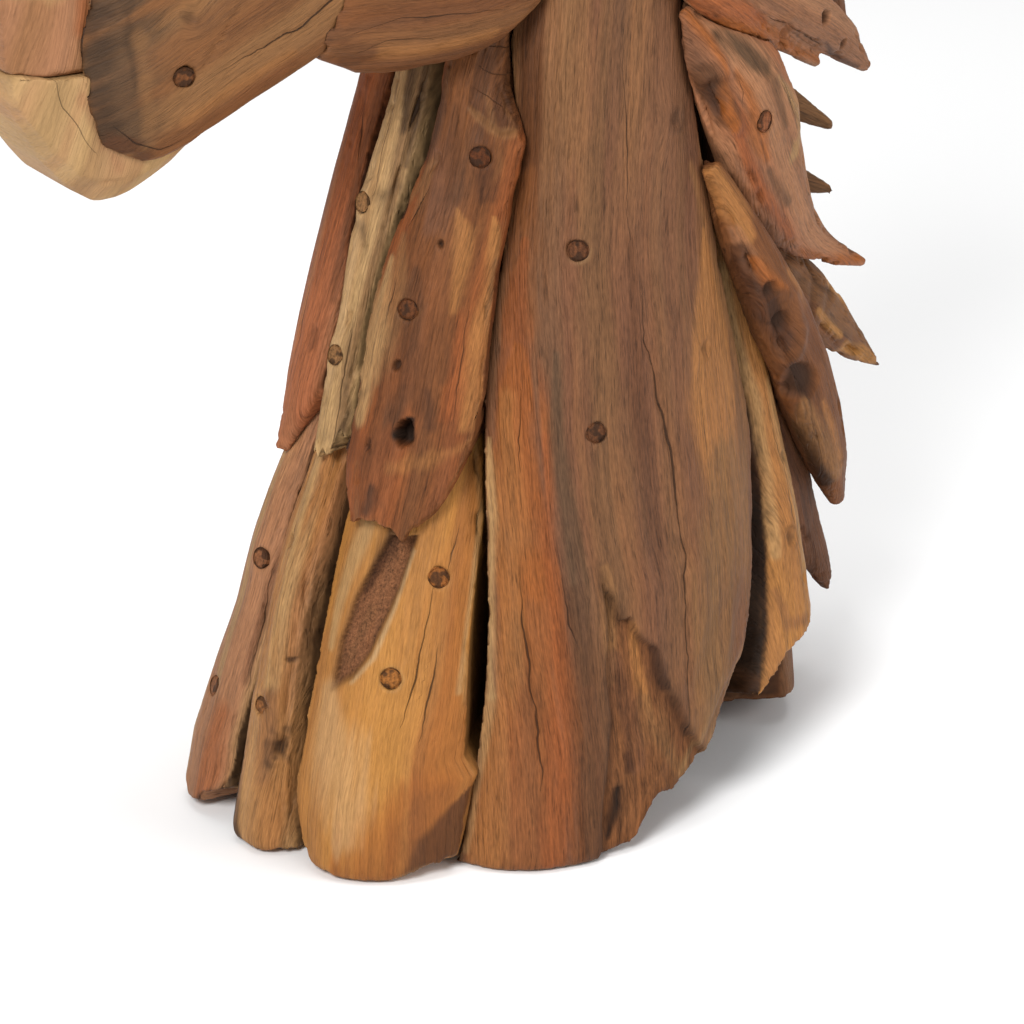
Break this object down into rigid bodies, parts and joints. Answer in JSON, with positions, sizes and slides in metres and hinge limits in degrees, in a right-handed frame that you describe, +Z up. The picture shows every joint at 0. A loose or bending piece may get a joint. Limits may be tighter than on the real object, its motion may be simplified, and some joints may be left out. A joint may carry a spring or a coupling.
{
  "type": "horse head sculpture",
  "caption": "Standing horse head and neck built up from overlapping split teak slabs, with a mane of pointed shards; a decorative floor or table sculpture.",
  "frame": {"origin": "on the floor under the middle of the part's box", "axes": "+Z up, -X the way the horse looks, -Y the horse's left side"},
  "size_m": [0.5652, 0.3172, 0.8567],
  "materials": {
    "teak_golden": "satin, weathered split teak",
    "teak_orange": "satin, weathered split teak",
    "teak_red": "satin, weathered split teak",
    "teak_brown": "satin, weathered split teak",
    "teak_grey": "satin, weathered split teak",
    "teak_pale": "satin, weathered split teak",
    "teak_dark": "satin, weathered split teak",
    "plug": "satin end grain"
  },
  "bodies": {
    "root": {"plug_throat_strip_near_1": "plug", "plug_throat_strip_near_2": "plug", "plug_breast_slab_near_1": "plug", "plug_breast_slab_near_2": "plug", "plug_chest_slab_outer_1": "plug", "plug_chest_slab_outer_2": "plug", "plug_chest_slab_inner_1": "plug", "plug_foot_slab_near_1": "plug", "plug_foot_slab_near_2": "plug", "plug_great_slab_near_1": "plug", "plug_great_slab_near_2": "plug", "plug_muzzle_near": "plug", "plug_mane_near_2": "plug", "nose_block": "teak_golden", "chin_block": "teak_pale", "forehead_slab": "teak_brown", "poll_block": "teak_orange", "ear_near": "teak_orange", "muzzle_near": "teak_brown", "jowl_near": "teak_golden", "brow_near": "teak_orange", "ear_far": "teak_brown", "muzzle_far": "teak_brown", "jowl_far": "teak_golden", "brow_far": "teak_grey", "chest_slab_outer": "teak_brown", "chest_slab_inner": "teak_brown", "foot_slab_near": "teak_golden", "great_slab_near": "teak_grey", "back_slab_near": "teak_golden", "nape_slab": "teak_brown", "back_slab_far": "teak_orange", "great_slab_far": "teak_orange", "foot_slab_far": "teak_golden", "breast_slab_near": "teak_brown", "throat_strip_near": "teak_pale", "throat_slab_red": "teak_red", "throat_slab_far": "teak_golden", "crest_slab_near": "teak_dark", "crest_slab_far": "teak_dark", "mane_near_1": "teak_orange", "mane_near_2": "teak_brown", "mane_near_3": "teak_brown", "mane_near_4": "teak_orange", "mane_near_5": "teak_grey", "mane_near_6": "teak_red", "mane_rear_1": "teak_dark", "mane_rear_2": "teak_grey", "mane_rear_3": "teak_brown", "mane_rear_4": "teak_golden", "mane_rear_5": "teak_brown", "mane_far_1": "teak_grey", "mane_far_2": "teak_grey", "mane_far_3": "teak_brown", "mane_far_4": "teak_red", "mane_far_5": "teak_orange", "mane_far_6": "teak_golden", "mane_far_7": "teak_brown", "forelock_near": "teak_red", "forelock_far": "teak_brown"}
  },
  "joints": []
}
